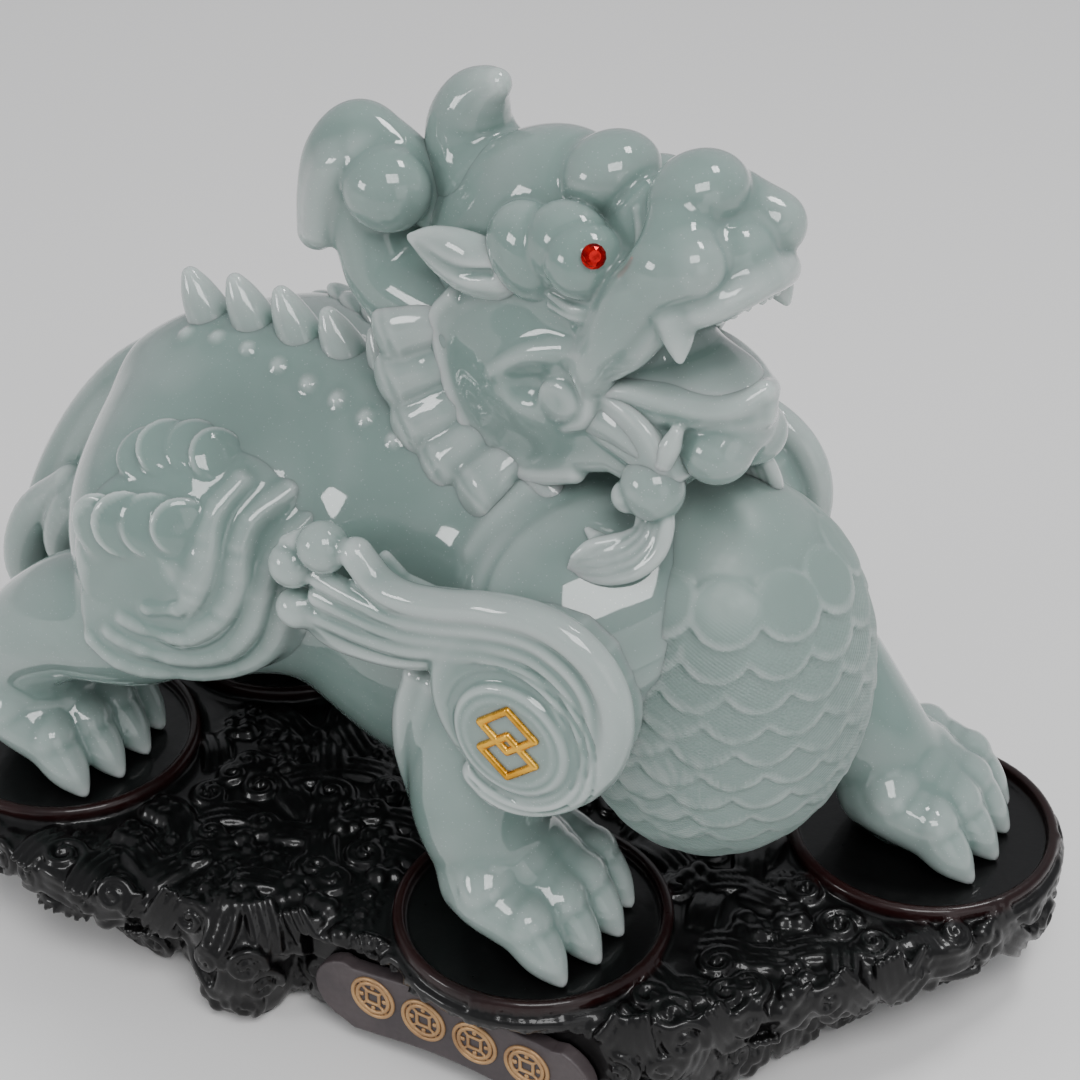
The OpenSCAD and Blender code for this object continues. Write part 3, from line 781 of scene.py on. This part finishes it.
def on_cheek(side, forward, up, out, radius=1.0):
    """A point out mm above the cheek, which bulges in the middle."""
    x, z, half_x, half_z, high, deep = CUSHION
    round_off = 1 - ((forward - x) / half_x) ** 2 - ((up - z) / half_z) ** 2
    bulge = max(high * sqrt(max(round_off, 0)) - deep, 0)
    at = vec(0, side * 10.2, 0) + cheek_axes(side) @ vec(forward, up, 7.2 + out + bulge)
    return (*at, radius)


def both(shape):
    """What shape(side) makes for the right side, -1, and the left side, 1."""
    made = [shape(side) for side in (-1, 1)]
    return made[0] + made[1] if isinstance(made[0], list) else made


def pair(make, points, *more):
    """What make(points, ...) makes from the left side's points, and its mirror image on the right."""
    points = np.array(points, np.float64)
    sideways = np.eye(points.shape[-1])[1]
    return both(lambda side: make(np.where(sideways, side * points, points), *more))


def strands(path, out, steps=10):
    """A tube on each cheek, out mm above it, through (forward, up, radius) points."""
    return both(lambda s: tube([on_cheek(s, x, z, out, r) for x, z, r in path], steps))


def head():
    c = Clay((-48, -31, -46), (58, 31, 38), 0.5, reach=7)
    c.add(blob((-15, 0, 6), (25, 17.5, 24)))
    c.add(blob((0, 0, 18), (15, 12, 12)), 8)
    c.add(blob((22, 0, 0), (22, 12.5, 10)), 6)
    c.add(blob((24, 0, 9), (12, 8.5, 8)), 5)
    c.add(both(lambda s: prism(CHEEK, (0, s * 10.2, 0), cheek_axes(s), 7.2, 3.2)), 2.5)
    c.add(both(lambda s: blob(on_cheek(s, *CUSHION[:2], -CUSHION[4])[:3], CUSHION[2:5], cheek_axes(s))), 2.5)
    c.add(strands([(x, z, 1.9) for x, z in [(-22, 4)] + CHEEK[:7]], -1.5), 1.6)
    fold = [(-14, -11.5, 0.7), (-8, -9.8, 1.1), (-2, -9, 1.7), (5, -10, 2.6), (10, -13, 3.2)]
    c.add(strands(fold, -0.6), 2.5)
    # corner of the mouth: a hollow, a curled flap that turns out of it, and hair that runs down to the beard
    c.cut(both(lambda s: blob(on_cheek(s, -4.4, -15.6, 0.6)[:3], (6, 3.4, 3.2), cheek_axes(s))), 3)
    c.add(both(lambda s: blob(on_cheek(s, 0, -19.4, -0.4)[:3], (5.4, 4.6, 1.5), cheek_axes(s))), 0.7)
    c.add(strands([(7.4, -15.4, 1.2), (7.4, -20, 1.8), (4, -24.4, 1.7), (-2, -25.6, 0.7)], 0.5), 0.5)
    for t in np.linspace(0, 1, 6):
        c.add(strands([(9.4 - 6 * t, -21 - 6.6 * t, 0.8), (14 - 5.4 * t, -23.4 - 7.4 * t, 1.5),
                       (17.8 - 5 * t, -28.4 - 6 * t, 1.7), (19 - 4.8 * t, -34 - 4 * t, 1.5),
                       (18 - 4 * t, -38 - 2 * t, 1.1)], -0.5, 9), 0.5)
    # upper lip, from the corner up to the bulge beside the nose
    c.add(pair(tube, [(11.6, 16.6, -15.2, 3.6), (14.2, 16, -12.6, 4.7), (21, 15.2, -7.6, 6),
                      (29, 14.2, -1.8, 6.6), (36.5, 12.8, 1.2, 6.7), (42, 11.4, 1.8, 6.4)], 12), 4.5)
    c.smooth(2)
    c.add(pair(tube, [(37, 4, 10.5, 7), (37.6, 8, 7, 7), (37, 11.6, 3.4, 6.8)], 8), 3)
    c.add(pair(tube, [(17, 15.2, -14.6, 2.6), (22, 14.6, -12.6, 3.2), (29, 13.4, -8.6, 3.6),
                      (36, 12.2, -6.8, 3.8), (42.5, 9.5, -6.4, 3.6), (46, 4, -6, 3.3),
                      (46.6, 0, -5.8, 3.2)], 10), 1.6)
    c.add(blob((41, 0, 0), (8, 8, 7)), 3)
    # upper teeth and fangs
    for side in range(-9, 10, 3):
        back = abs(side) * 0.35
        c.add(segment((45.5 - back, side, -6.5), 1.5, (44.6 - back, side, -10), 0.9), 0.5)
    c.add(pair(tube, [(35.6, 13.6, -7, 4), (35.2, 14.3, -11, 2.8), (34.8, 15.1, -14.6, 1.0)], 8), 1.2)
    # nose and forehead bulbs, and what lies between them
    c.add(blob((15.7, 0, 19.1), (9.6, 10, 8.2)), 1.8)
    c.add(blob((37.6, 0, 12.6), (9.4, 10, 8)), 1.2)
    c.add(pair(tube, [(29.4, 6.2, 11.6, 0.9), (30.4, 8, 8.4, 1.0), (29.8, 10, 4.6, 0.7)]), 0.9)
    c.add(pair(tube, [(27.2, 6.6, 12.4, 0.9), (28.2, 8.6, 8.8, 1.0), (27.6, 10.4, 5, 0.7)]), 0.9)
    # eye socket, brow swirls, eyeball and lower lids
    c.add(pair(blob, (14, 11, -1), (13, 5.5, 8)), 4)
    c.add(pair(blob, (2.6, 14.8, 10), (9.6, 7.2, 10)), 0.9)
    c.add(pair(blob, (12.4, 13.4, 9.4), (9.4, 7.6, 9)), 0.7)
    c.add(pair(blob, (17.2, 14.8, 6.6), 7.7), 0.4)
    for i in (0, 1):
        c.add(pair(tube, [(7.4 - i, 17.6, 1.2 - 1.8 * i, 0.6), (12.6, 18, -1.6 - 1.8 * i, 0.8),
                          (18.6, 16.8, -2.6 - 1.6 * i, 0.8), (24, 14.6, -1.4 - 1.4 * i, 0.6)], 8), 0.9)
    c.cut(blob((20, 0, -17), (34, 11.5, 9)), 1.5)
    return c


LIP_TILT = axes_from((0.94, 0, -0.34))  # forward, side and up of the lower lip


def lower_jaw():
    c = Clay((-22, -26, -50), (48, 26, -8), 0.45, reach=5)
    c.add(blob((-4, 0, -27), (16, 15.5, 9)))
    c.add(blob((14, 0, -31), (16, 12, 6)), 4)
    lip = [(-16, -14.5), (-6, -14.5), (2, -13.2), (9, -10.4), (15, -6.6), (19, -2.8), (20.4, 0)]
    lip = lip + [(x, -y) for x, y in lip[-2::-1]]
    c.add(prism(lip, (19, 0, -25.2), LIP_TILT, 3.4, 2.6), 2)
    c.add(pair(tube, [(8, 15.6, -19.6, 2.4), (14, 14.4, -20.2, 1.6), (19, 13.2, -22, 1.4),
                      (24.5, 11.2, -25, 1.5), (29.6, 8, -27.6, 1.8), (34.6, 4.2, -28.2, 2.2),
                      (37.6, 0, -27.2, 2.2)]), 1.6)
    c.add(blob((11, 0, -19.6), (25, 14.6, 5.4), LIP_TILT), 2)
    c.add(pair(tube, [(2, 12.5, -24, 5), (11, 12.5, -28, 5), (16, 12, -34, 4.4)]), 3)
    c.smooth(2)
    c.add(pair(tube, [(19.4, 14, -35.4, 2), (22, 13.4, -32.6, 2.2), (24, 12.4, -30, 1.4)], 8), 1.5)
    c.add(pair(blob, (25, 5, -37), (7.4, 6.8, 6.6)), 1.6)
    c.add(blob((27, 0, -34), (8, 8, 6)), 2)
    return c


def tongue():
    c = Clay((-12, -15, -34), (40, 15, -10), 0.5, reach=4)
    c.add(blob((13, 0, -19.6), (24, 12.6, 5), LIP_TILT))
    c.add(blob((8, 0, -15.5), (16, 12, 6)), 6)
    return c


def horn():
    c = Clay((-48, -20, -2), (6, 20, 54), 0.5, reach=8)
    c.add(tube([(-13, 0, 12, 15), (-21, 0, 24, 11), (-21.8, 0, 32, 9.2), (-18, 0, 37, 7.4), (-13, 0, 39.6, 5),
                (-9, 0, 40.4, 3.2)]))
    c.add(blob((-16, 0, 12), (17, 15.5, 14)), 3)
    for s in (-1, 1):
        c.cut(tube([(-28, s * 11.6, 14, 0.9), (-31, s * 9.4, 22, 0.9), (-30.4, s * 7.4, 30, 0.7)]), 2.2)
    return c


def ear():
    c = Clay((-32, -30, -2), (4, -8, 28), 0.4, reach=3)
    facing = (unit((-0.25, -1, 0.1)), 0.42)
    c.add(tube([(-3, -15.6, 6.6, 4), (-7, -17.8, 8.2, 6.4), (-12, -20, 11, 6.8), (-17, -21.4, 14.2, 5),
                (-22.4, -22.6, 17.8, 1)], 9, facing))
    c.cut(tube([(-4, -20.8, 8.2, 0.5), (-12, -24, 10.4, 0.8), (-19.6, -25, 16, 0.4)], 8), 2.6)
    return c


def fan():
    """Five broad petals that flare out behind the cheek."""
    c = Clay((-62, -31, -50), (-12, -6, 12), 0.45, reach=4)
    roots = [(-26, -1), (-28, -9), (-29, -17), (-27.5, -25), (-22.5, -31.5)]
    tips = [(-42, -1.5, -20.6), (-46, -11.5, -21.2), (-45.4, -22, -22), (-39.4, -30.8, -22.8),
            (-29.6, -37, -23.2)]
    c.add(blob((-27, -15, -16), (14, 3.5, 17)))
    facing = (unit((-0.25, -1, 0.05)), 0.5)
    for (rx, rz), (tx, tz, ty) in zip(roots, tips):
        middle = ((rx + tx) / 2, (ty - 16) / 2, (rz + tz) / 2, 5.6)
        c.add(tube([(rx, -15.2, rz, 3.8), middle, (tx, ty, tz, 6.4)], 10, facing), 1.6)
    c.smooth(2)
    c.add(tube([(-20, -14, -34, 4.4), (-16, -14.4, -42, 4), (-14, -14, -49, 2)]), 1.4)
    return c


def beard():
    """A knot at the corner of the jaw, with a lock of five strands and a short tuft."""
    c = Clay((-12, -31, -60), (24, -4, -30), 0.4, reach=4)
    c.add(blob((13.6, -13.8, -40.6), (6.8, 6.2, 6.8)))
    c.add(blob((9.2, -17, -41), (3.4, 3, 3.4)), 0.5)
    for k in (-2, -1, 0, 1, 2):
        d = k * 1.9
        c.add(tube([(12.6 + d * 0.8, -13.8, -44, 1.5), (11.6 + d, -15.2, -48.6, 1.6),
                    (9.4 + d * 0.9, -17.6, -51.4 - d * 0.5, 1.6), (6 + d * 0.4, -20.6, -52.4 - d * 0.9, 1.6),
                    (2, -24.2, -51.8 - d * 0.9, 1.4), (-2.4 - d * 0.4, -26.8, -51 - d * 0.4, 0.6)], 8), 0.35)
    c.add(tube([(5, -20, -52.6, 2.4), (1.8, -20.6, -49.6, 2.1), (-2, -20.2, -46.6, 0.8)], 5), 0.6)
    return c


def gem(side, name):
    """Round crystal cut in facets, set in the front of the eyeball."""
    sides, axes = 12, axes_from(unit((0.891, side * 0.454, 0.06)))
    rings = [(0.0, 1.2, 0.0), (1.7, 2.45, 0.5), (2.1, 2.45, 0.0), (2.75, 1.9, 0.5), (3.15, 1.2, 0.0)]
    corners = []
    for lift, r, shift in rings:
        for i in range(sides):
            a = 2 * pi * (i + shift) / sides
            corners.append(vec(22.9, side * 17.6, 7.8) + axes @ vec(lift, r * cos(a), r * sin(a)))
    m = np.array(HEAD)
    corners = np.array(corners) @ m[:3, :3].T + m[:3, 3]
    top = len(corners) - sides
    faces = [tuple(range(sides))[::-1], tuple(range(top, top + sides))]
    for ring in range(0, top, sides):
        for i in range(sides):
            a, b = ring + i, ring + (i + 1) % sides
            faces += [(a, b, b + sides), (a, b + sides, a + sides)]
    mesh = bpy.data.meshes.new(name)
    mesh.from_pydata([tuple(c * MM) for c in corners], [], faces)
    add_piece(name, mesh, CRYSTAL, FIGURE)


# -------- stand

PAWS = [(34, -30), (96, 39), (-92, -31), (-72, 32)]  # middles of the dishes
FLOOR_Z = 33.0  # of the dishes
DECK = [(-112, -54), (-88, -66), (-62, -70), (-38, -64), (-10, -55), (62, -51), (92, -24), (122, 20),
        (112, 64), (70, 64), (10, 58), (-40, 62), (-92, 56), (-117, 20)]
CORE = [(-92, -48), (-50, -56), (-12, -50), (66, -50), (86, -18), (104, 24), (96, 50), (20, 46), (-60, 48),
        (-96, 30)]
FEET = [(-84, -40, 18, 14), (-27, -54, 15, 12), (66, -34, 15, 12), (98, 32, 22, 15), (20, 38, 17, 13),
        (-72, 34, 20, 14)]  # x, y, and the radius above and below
FLAT = np.eye(3)  # flat shapes that lie level
RING = np.linspace(0, 2 * pi, 49)
DISH_R = 28


def rosette(at, normal, size, turn):
    """Chrysanthemum: two rings of petals round a button."""
    m = axes_from(normal, unit(vec(cos(turn), sin(turn), 0.4)))
    n, a, b = m.T
    button, bed = (1.4, size * 0.28, size * 0.28), (1.6, size, size)
    shapes = [blob(at + n * 0.6, button, m), blob(at - n * 1.2, bed, m)]
    for ring, (count, r0, r1, lift) in enumerate(((16, 0.35, 1.0, 0.3), (11, 0.22, 0.66, 1.0))):
        for i in range(count):
            t = 2 * pi * (i + 0.5 * ring) / count
            d = size * (cos(t) * a + sin(t) * b)
            root, tip = at + d * r0 + n * lift, at + d * r1 + n * (lift - 0.5)
            shapes.append(segment(root, size * 0.05, tip, size * 0.125))
    return shapes


def leaf(at, face, bend):
    """Three ribs side by side, which bend and taper together."""
    along_it, across, n = face.T
    shapes = []
    for k in (-1, 0, 1):
        path = []
        for t in (0, 0.25, 0.5, 0.75, 1):
            bow = (t - 0.5) ** 2
            p = at + along_it * (t * 12 - 6) + across * (k * 2.4 + bend * 5 * bow) + n * (0.5 - 2 * bow)
            path.append((*p, 1.5 - 0.9 * abs(t - 0.4)))
        shapes.append(tube(path, 2))
    return shapes


def carved_spots(block, chance):
    """Where carving goes on the block, as (point, normal): rows round its edge, then over the deck."""
    spots = []
    edge = curve(DECK + DECK[:1], 40)
    mark = np.concatenate([[0], np.cumsum(np.linalg.norm(np.diff(edge, axis=0), axis=1))])
    for row, z in enumerate((27.5, 20.5, 13.5, 7.0)):
        for s in np.arange(0, mark[-1], 8.2):
            s += chance.uniform(-1.5, 1.5) + 4 * (row % 2)
            i = min(int(np.searchsorted(mark, s % mark[-1])), len(edge) - 2)
            tangent = unit(edge[i + 1] - edge[i])
            out = vec(tangent[1], -tangent[0], 0)
            spots.append(first_hit([block], vec(*edge[i], z) + out * 14, -out, 50))
    for x in np.arange(-110, 120, 8.4):
        for y in np.arange(-66, 66, 8.4):
            at = vec(x + chance.uniform(-2, 2), y + chance.uniform(-2, 2), 44)
            if min(hypot(at[0] - px, at[1] - py) for px, py in PAWS) >= DISH_R + 5.5:
                spots.append(first_hit([block], at, DOWN, 18))
    return [spot for spot in spots if spot]


def carve(c, at, n, chance):
    """A rosette, cloud curl, leaf or cluster of buds on the stand, whichever chance picks."""
    kind, turn = chance.random(), chance.uniform(0, 6.28)
    m = axes_from(n, unit(vec(cos(turn), sin(turn), 0.3)))
    face = m[:, [1, 2, 0]]
    if kind < 0.16:
        c.add(rosette(at, n, chance.uniform(4.6, 6.2), turn), 0.3)
    elif kind < 0.50:
        size = chance.uniform(3.6, 5.4)
        c.add(blob(at - n * 1.5, (2.6, size, size), m), 1.5)
        c.add(tube(spiral(at + n * 0.6, face, size, 1.25, 1.5, turn, 1.2), 2), 0.4)
    elif kind < 0.82:
        for rib in leaf(at, face, chance.uniform(-0.8, 0.8)):
            c.add(rib, 0.5)
    else:
        for k in range(4):
            d = face[:, 0] * cos(turn + k * 1.6) + face[:, 1] * sin(turn + k * 1.6)
            c.add(blob(at + d * 2.6 - n * 0.2, chance.uniform(1.8, 3.0)), 0.6)


def stand():
    c = Clay((-134, -80, -1), (134, 78, 44), 0.8, reach=5)
    c.add(prism(curve(DECK + DECK[:1], 4)[:-1], (0, 0, 26), FLAT, 5.5, 4))
    c.add(prism(curve(CORE + CORE[:1], 3)[:-1], (0, 0, 14), FLAT, 10, 4), 4)
    c.add([segment((x, y, 6), lower - 2, (x, y, 20), upper - 3) for x, y, upper, lower in FEET], 4)
    for x, y in PAWS:
        c.add(disc((x, y, 27), FLAT, 30.5, 8.5, 1.4), 1.5)
    c.reach = 3
    chance = np.random.default_rng(5)
    for at, n in carved_spots(c, chance):
        carve(c, at, n, chance)
    for x, y in PAWS:
        c.cut(disc((x, y, FLOOR_Z + 10.2), FLAT, DISH_R, 10.2, 0.4))
        for z, r, thick in ((34.3, 29.5, 1.25), (30.6, 31.2, 1.2), (27.4, 30.6, 1.3)):
            c.add(tube([(x + r * cos(a), y + r * sin(a), z, thick) for a in RING], 1), 0.8)
        c.cut(disc((x, y, FLOOR_Z + 10.2), FLAT, DISH_R + 0.2, 10.2, 0.4))
    c.cut(prism([(-38, -16), (38, -16), (38, 13), (-38, 13)], (28, -62, 15), RIGHT_SIDE, 10.2, 0.5))
    return c.above(1.5)


def dish_rims(p):
    """1 on the lips of the paw dishes, 0 elsewhere."""
    near = np.min([np.hypot(p[:, 0] - x, p[:, 1] - y) for x, y in PAWS], axis=0)
    return np.clip(near - 27.5, 0, 1) * np.clip(32.5 - near, 0, 1) * np.clip(p[:, 2] - 32.4, 0, 1)


def plaque():
    """The wavy tablet, and four coins with square holes printed on it."""
    centre_x, face_y, centre_z, half, high, thick, wave = 28, -56, 15.5, 35, 21, 4, 3

    def lift(x):
        return wave * (cos(pi * x / half) + 1) / 2

    top = [(x, high / 2 - wave + lift(x)) for x in np.linspace(-half * 0.72, half * 0.72, 19)]
    low = [(x, -high / 2 + lift(x)) for x in np.linspace(half * 0.72, -half * 0.72, 19)]
    ends = [[(s * half * 0.72 + s * half * 0.28 * cos(a), (high - wave) / 2 * sin(a) * s)
             for a in np.radians(np.arange(75, -76, -15))] for s in (1, -1)]
    outline = top + ends[0] + low + ends[1]
    c = Clay((-9, -58, 3), (65, -49, 29), 0.35, reach=2)
    c.add(prism(outline, (centre_x, face_y + thick / 2, centre_z), RIGHT_SIDE, thick / 2, 0.5))
    c.skin("plaque", PLAQUE, STAND)
    marks = Clay((2, -57.6, 8), (54, -54, 26), 0.2, reach=1)
    y = face_y - 0.1
    for i in (-1.5, -0.5, 0.5, 1.5):
        x, z = centre_x + i * 13, centre_z + wave / 2 - i * 0.4
        for r in (5.2, 4.0):
            marks.add(tube(upright_ring(x, y, z, r, 0.5, np.linspace(0, 2 * pi, 33)), 1))
        for bar in square_frame([(-1.6, -1.6), (1.6, -1.6), (1.6, 1.6), (-1.6, 1.6)], x, y, z, 0.42):
            marks.add(bar)
        for a in np.radians((45, 135, 225, 315)):
            dx, dz = cos(a), sin(a)
            marks.add(segment((x + dx * 2.4, y, z + dz * 2.4), 0.34, (x + dx * 4.2, y, z + dz * 4.2), 0.34))
        for at in upright_ring(x, y, z, 2.9, 0, np.radians((0, 90, 180, 270))):
            marks.add(blob(at[:3], (0.6, 0.4, 0.6)))
    marks.skin("plaque_emblem", GOLD_PRINT, STAND)


def pads():
    c = Clay((-104, -60, -1), (118, 50, 3), 0.5, reach=1.5)
    for x, y, _, _ in FEET:
        c.add(disc((x, y, 0.8), FLAT, 8, 0.75, 0.2))
    c.skin("felt_pads", FELT, STAND)


def build():
    body = torso()
    legs = {
        "leg_front_right": leg([(34, -19, 104, 20), (25, -29, 84, 17), (22, -33, 64, 14.5), (27, -31, 47, 13),
                                (31, -30, 43, 12.5)], PAWS[0]),
        "leg_front_left": leg([(42, 19, 102, 19), (64, 30, 82, 16), (81, 35, 60, 13.5), (88, 39, 48, 12.5),
                               (92, 40, 44, 12)], (94, 41), 8),
        "leg_rear_right": leg([(-52, -27, 104, 24), (-62, -34, 85, 18), (-82, -37, 76, 14.5),
                               (-95, -36, 64, 13), (-97, -33, 50, 13)], PAWS[2]),
        "leg_rear_left": leg([(-50, 27, 104, 24), (-50, 35, 84, 19), (-66, 37, 72, 16), (-74, 35, 58, 13.5),
                              (-76, 33, 48, 12.5)], PAWS[3]),
    }
    front_leg_fin(legs["leg_front_right"])
    sides = (("right", 1), ("left", -1))
    thighs = {name: haunch([legs[f"leg_rear_{name}"], body], side) for name, side in sides}
    for name, c in {"torso": body, **legs}.items():
        c.skin(name, JADE)
    chest().skin("chest_scales", FROSTED)
    for name, make in (("tail", tail), ("spine_crest", crest), ("mane_curl", mane_curl)):
        make().skin(name, JADE)
    wing_clay, knot = wing(), emblem()
    for name, side in sides:
        thighs[name].skin(f"haunch_flame_{name}", JADE, flip=side < 0)
        wing_clay.skin(f"wing_scroll_{name}", JADE, flip=side < 0)
        knot.skin(f"emblem_{name}", GOLD, flip=side < 0)
    for make in (head, lower_jaw, tongue, horn):
        make().skin(make.__name__, JADE, place=HEAD)
    for word, make in (("ear", ear), ("mane_fan", fan), ("beard", beard)):
        c = make()
        for name, side in sides:
            c.skin(f"{word}_{name}", JADE, place=HEAD, flip=side < 0)
    for name, side in sides:
        gem(-side, f"eye_gem_{name}")
    stand().skin("stand", LACQUER, STAND, tint=dish_rims)
    plaque()
    pads()


build()


# -------- room

def room():
    bpy.ops.mesh.primitive_plane_add(size=8)
    floor = bpy.context.object
    floor.name = "floor"
    pale, _, _ = new_material("floor", Base_Color=(0.80, 0.79, 0.785, 1), Roughness=0.6)
    floor.data.materials.append(pale)

    world = bpy.data.worlds.new("studio")
    bpy.context.scene.world = world
    world.use_nodes = True
    sky = world.node_tree.nodes["Background"].inputs
    sky["Color"].default_value = (0.92, 0.94, 0.97, 1)
    sky["Strength"].default_value = 0.55

    for name, at, size, watts in (
        ("key", (0.465, -0.527, 1.008), (0.56, 0.44), 8.5),
        ("window", (-0.80, -0.90, 0.42), (0.40, 0.28), 4.5),
        ("top", (0.30, 0.40, 1.15), (0.34, 0.22), 5.0),
        ("fill", (1.3, -0.7, 0.5), (0.9, 0.9), 3.0),
    ):
        data = bpy.data.lights.new(name, "AREA")
        data.shape = "RECTANGLE"
        data.size, data.size_y = size
        data.energy = watts
        aimed(name, data, Vector(at), Vector((0, 0, 0.1)) - Vector(at))


def aimed(name, data, at, direction):
    """A lamp or camera that looks along direction."""
    o = bpy.data.objects.new(name, data)
    bpy.context.scene.collection.objects.link(o)
    o.location = at
    o.rotation_mode = "QUATERNION"
    o.rotation_quaternion = direction.to_track_quat("-Z", "Y")
    return o


def camera():
    """Looks down on the right front quarter. Azimuth is from -Y towards +X."""
    azimuth, elevation, distance = radians(30), radians(35), 0.620
    back = Vector((
        sin(azimuth) * cos(elevation),
        -cos(azimuth) * cos(elevation),
        sin(elevation),
    ))
    data = bpy.data.cameras.new("camera")
    data.sensor_width = 36
    data.lens = 93
    data.clip_start, data.clip_end = 0.01, 50
    bpy.context.scene.camera = aimed("camera", data, Vector((0.008, 0.018, 0.095)) + back * distance, -back)


room()
camera()
bpy.context.view_layer.update()
